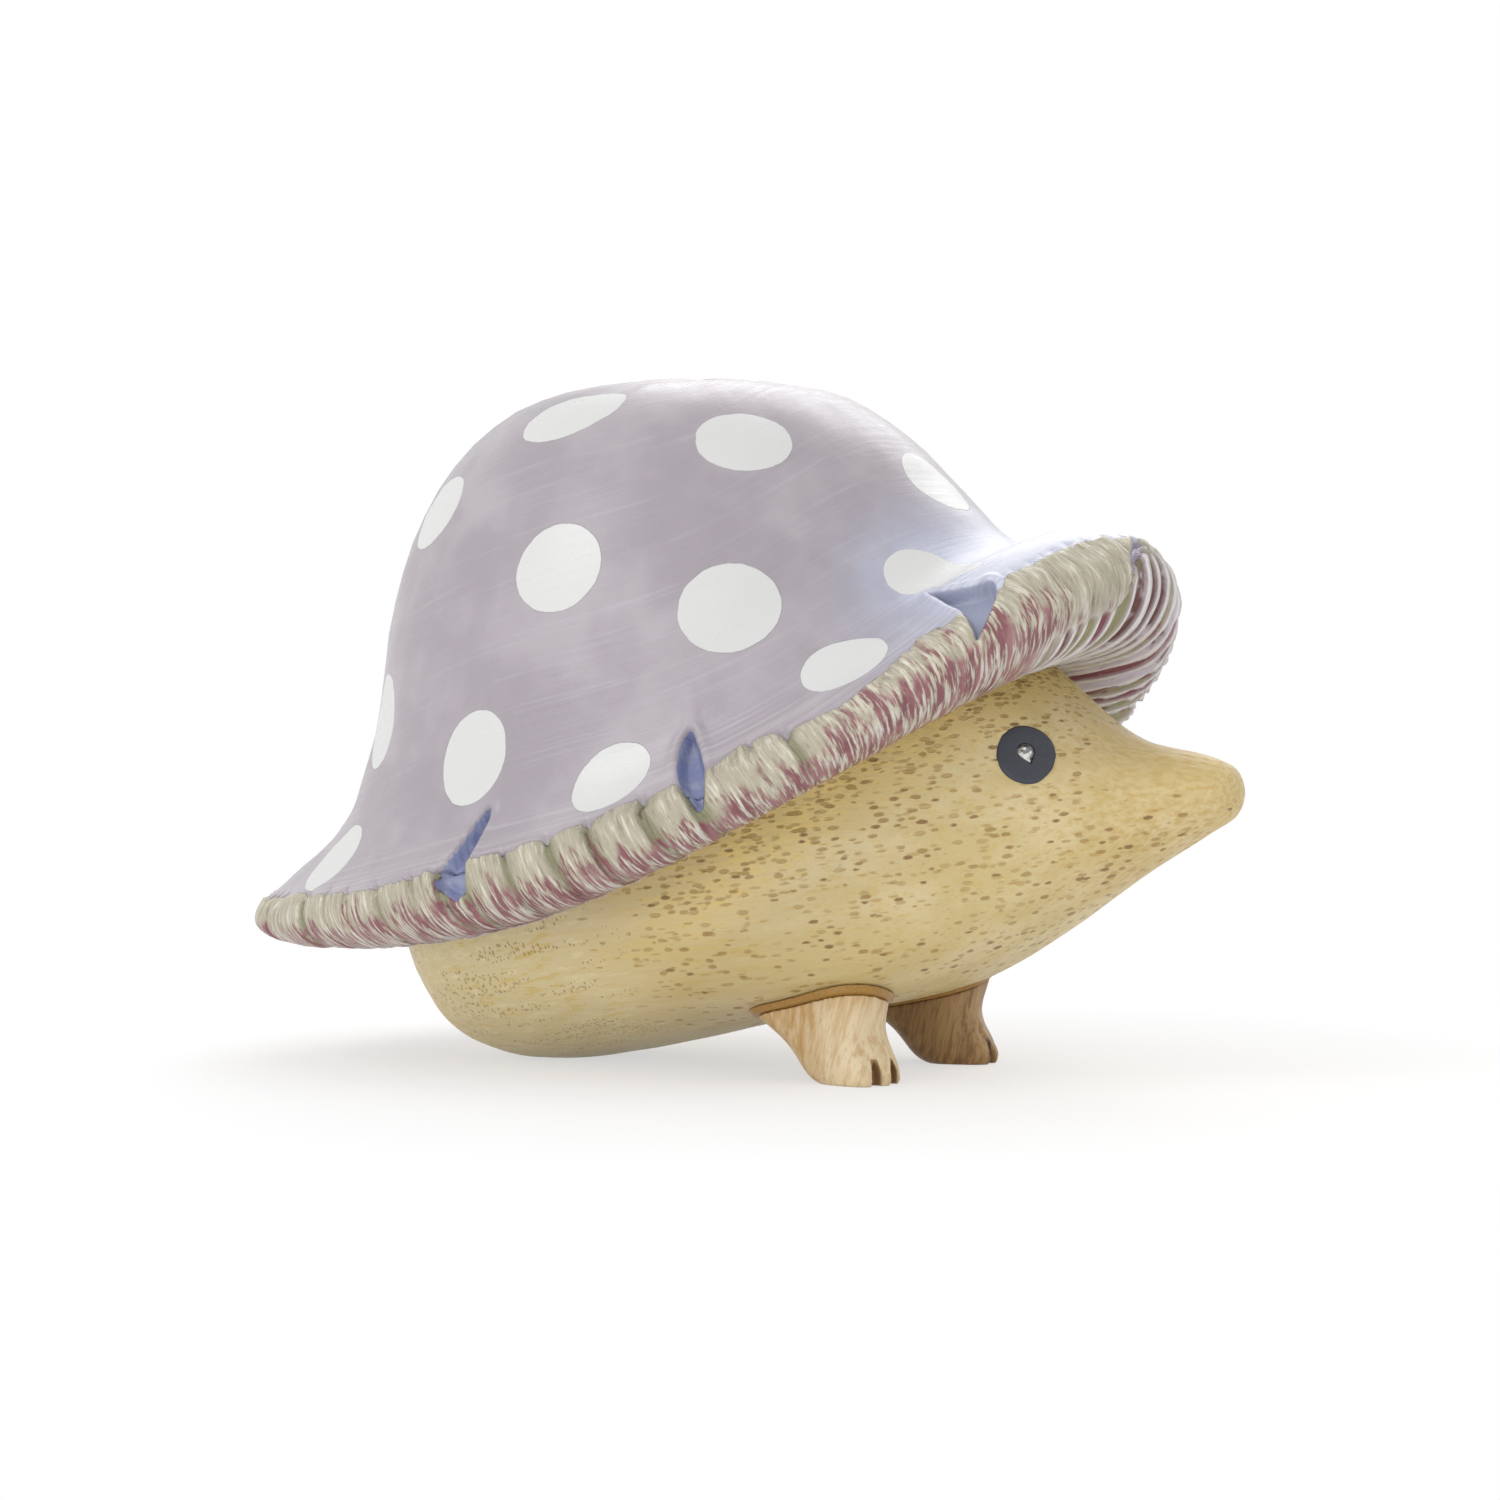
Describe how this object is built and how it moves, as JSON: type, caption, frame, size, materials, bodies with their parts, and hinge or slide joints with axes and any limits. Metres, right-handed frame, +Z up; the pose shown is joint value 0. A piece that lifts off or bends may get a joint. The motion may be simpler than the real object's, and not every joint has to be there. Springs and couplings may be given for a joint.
{
  "type": "hedgehog figurine",
  "caption": "Carved wooden hedgehog figurine wearing a painted, spotted mushroom cap with a gilled brim flipped up at the front",
  "frame": {"origin": "The middle of the figurine's length and width, on the table it stands on.", "axes": "+X runs from the rear to the nose and is the longest extent, +Y to the animal's left, +Z up."},
  "size_m": [0.1628, 0.1182, 0.1065],
  "materials": {
    "carved_wood": "satin",
    "cap_paint": "satin",
    "adhesive": "matte",
    "foot_wood": "satin",
    "amber_glue": "glossy",
    "dowel_wood": "matte",
    "eye_black": "matte",
    "clear_gem": "glossy"
  },
  "bodies": {
    "root": {"body": "carved_wood", "cap": "cap_paint", "cap_adhesive": "adhesive", "right_foot": "foot_wood", "left_foot": "foot_wood", "right_foot_glue": "amber_glue", "left_foot_glue": "amber_glue", "right_foot_dowel": "dowel_wood", "left_foot_dowel": "dowel_wood", "right_eye": "eye_black", "left_eye": "eye_black", "right_eye_gem": "clear_gem", "left_eye_gem": "clear_gem"}
  },
  "joints": []
}
